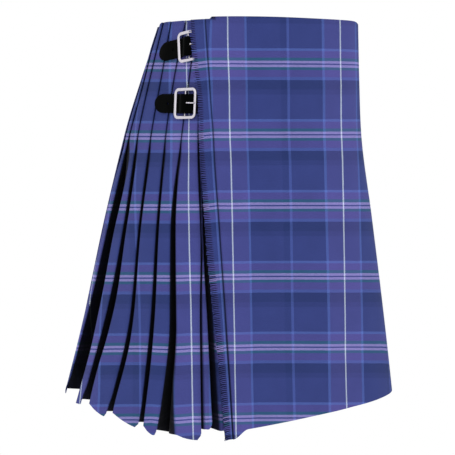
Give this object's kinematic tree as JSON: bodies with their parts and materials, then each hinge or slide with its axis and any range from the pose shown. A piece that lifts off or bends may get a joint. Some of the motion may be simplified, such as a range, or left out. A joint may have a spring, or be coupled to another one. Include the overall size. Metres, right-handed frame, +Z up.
{
  "type": "kilt worn at the waist",
  "caption": "Tartan wool kilt in its worn, filled-out form: flat aprons in front, knife pleats round the back, fringed edge, leather straps with metal buckles.",
  "frame": {"origin": "centre of the waist opening, level with the upper strap, 45 mm below the top edge of the pleats", "axes": "+Z up, -Y the way the wearer faces (the over apron), +X the wearer's left"},
  "size_m": [0.4851, 0.4569, 0.6],
  "materials": {
    "tartan": "matt twill",
    "yarn": "matt",
    "leather": "satin",
    "chrome": "polished"
  },
  "bodies": {
    "root": {"over_apron": "tartan", "under_apron": "tartan", "pleats_left": "tartan", "pleats_right": "tartan", "fringe_strip": "tartan", "fringe_yarns": "yarn", "strap_upper": "leather", "strap_lower": "leather", "strap_left": "leather", "chape_upper": "leather", "chape_lower": "leather", "chape_left": "leather", "buckle_upper": "chrome", "buckle_lower": "chrome", "buckle_left": "chrome", "prong_upper": "chrome", "prong_lower": "chrome", "prong_left": "chrome"}
  },
  "joints": []
}
